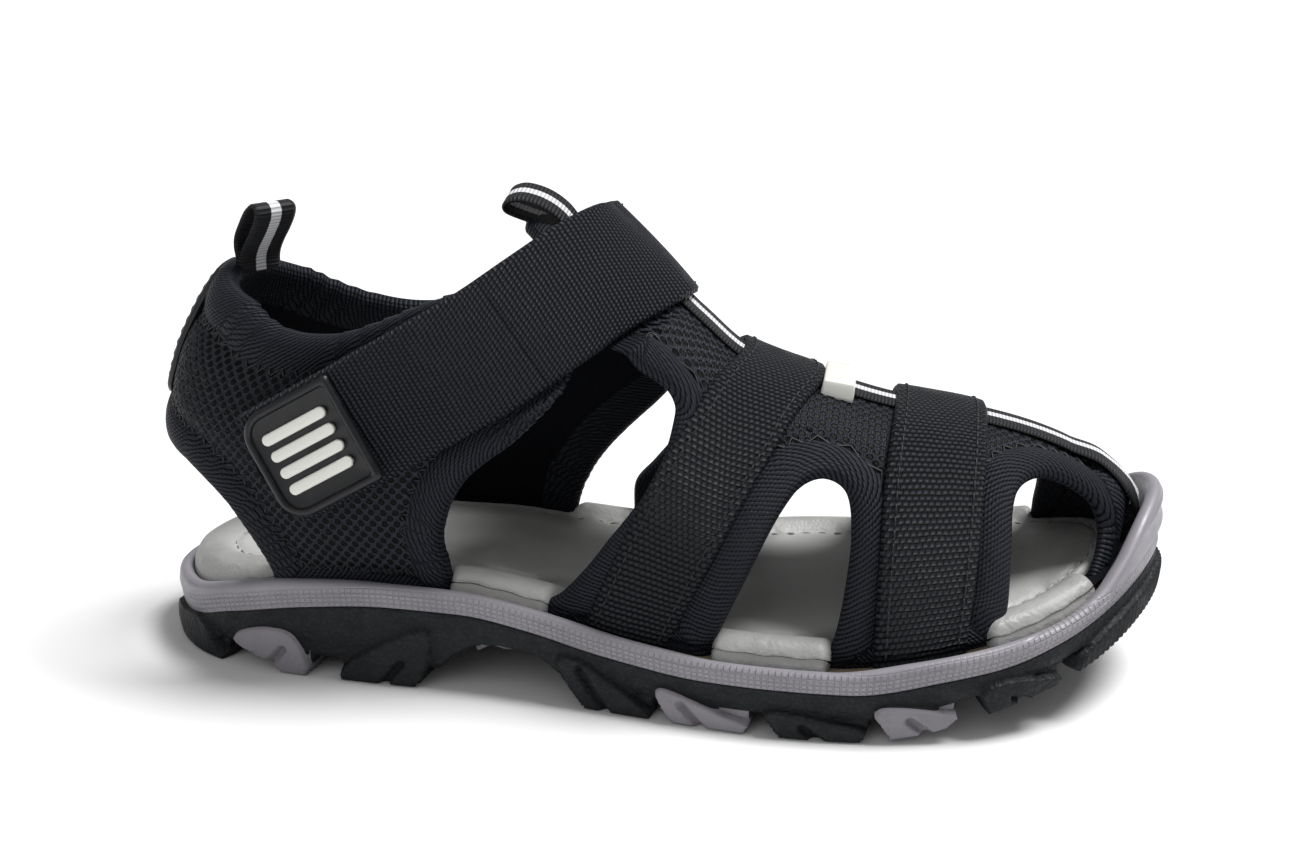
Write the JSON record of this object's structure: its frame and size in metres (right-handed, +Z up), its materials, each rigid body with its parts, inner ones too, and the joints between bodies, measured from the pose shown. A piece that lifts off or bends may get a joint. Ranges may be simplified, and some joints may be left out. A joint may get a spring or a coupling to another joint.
{
  "type": "sport sandal",
  "caption": "Child's closed-toe sport sandal for the right foot, with a mesh and webbing upper, a touch-fastened ankle strap, a padded footbed and a lugged sole",
  "frame": {"origin": "on the ground plane, at the middle of the bounding box in length and width", "axes": "+X from heel to toe, -Y the outer side of the right foot, +Z up"},
  "size_m": [0.206, 0.0843, 0.0967],
  "materials": {
    "outsole": "matte pebbled rubber",
    "midsole": "satin moulded foam rubber",
    "footbed": "soft grained synthetic leather",
    "foam": "open foam",
    "board": "pressed fibre board",
    "shank": "spring strip",
    "mesh": "spacer mesh",
    "binding": "ribbed knit binding",
    "lining": "smooth knit lining",
    "webbing": "coarse woven webbing",
    "tape": "ribbed tape with a pale stripe",
    "patch": "smooth synthetic leather",
    "pile": "touch fastening pile",
    "badge": "satin moulded plastic",
    "white": "glossy plastic"
  },
  "bodies": {
    "sandal": {"ankle_strap_base": "webbing", "centre_tape": "tape", "ear_binding": "binding", "ear_lining": "lining", "ear_mesh": "mesh", "footbed_cover": "footbed", "footbed_foam": "foam", "grey_tread_lugs": "midsole", "heel_tab": "patch", "insole_board": "board", "instep_strap": "webbing", "loop_patch": "pile", "midsole": "midsole", "outsole": "outsole", "quarter_binding_inner": "binding", "quarter_binding_outer": "binding", "quarter_foam_inner": "foam", "quarter_foam_outer": "foam", "quarter_lining_inner": "lining", "quarter_lining_outer": "lining", "quarter_mesh_inner": "mesh", "quarter_mesh_outer": "mesh", "shank": "shank", "tape_keeper": "white", "toe_strap": "webbing", "vamp_binding_inner": "binding", "vamp_binding_outer": "binding", "vamp_lining_inner": "lining", "vamp_lining_outer": "lining", "vamp_mesh_inner": "mesh", "vamp_mesh_outer": "mesh"},
    "strap_flap": {"ankle_strap": "webbing", "hook_patch": "pile"},
    "strap_end": {"strap_end_webbing": "webbing", "strap_end_hook_patch": "pile", "strap_end_badge": "badge", "badge_bars": "white"},
    "tongue": {"tongue_panel": "mesh", "tongue_foam": "foam", "tongue_lining": "lining"},
    "tongue_loop": {"tongue_pull_loop": "tape"},
    "heel_loop": {"heel_pull_loop": "tape"}
  },
  "joints": [
    {"name": "strap_open", "type": "hinge", "parent": "sandal", "child": "strap_flap", "pos_m": [-0.0042, 0.0099, 0.083], "axis": [-0.634, -0.0526, 0.7715], "range_deg": [0, 110]},
    {"name": "strap_peel", "type": "hinge", "parent": "strap_flap", "child": "strap_end", "pos_m": [-0.055, -0.0326, 0.0552], "axis": [-0.5101, 0, 0.8601], "range_deg": [0, 50]},
    {"name": "tongue_give", "type": "hinge", "parent": "sandal", "child": "tongue", "pos_m": [0.005, 0, 0.069], "axis": [0, -1, 0], "range_deg": [0, 4], "stiffness_Nm_per_rad": 0.02, "springref_deg": -11.46},
    {"name": "tongue_loop_fold", "type": "hinge", "parent": "tongue", "child": "tongue_loop", "pos_m": [-0.0185, 0.001, 0.0851], "axis": [0, 1, 0], "range_deg": [-10, 45], "stiffness_Nm_per_rad": 0.002},
    {"name": "heel_loop_fold", "type": "hinge", "parent": "sandal", "child": "heel_loop", "pos_m": [-0.084, -0.002, 0.0813], "axis": [0.6, 0.8, 0], "range_deg": [-20, 50], "stiffness_Nm_per_rad": 0.002}
  ]
}
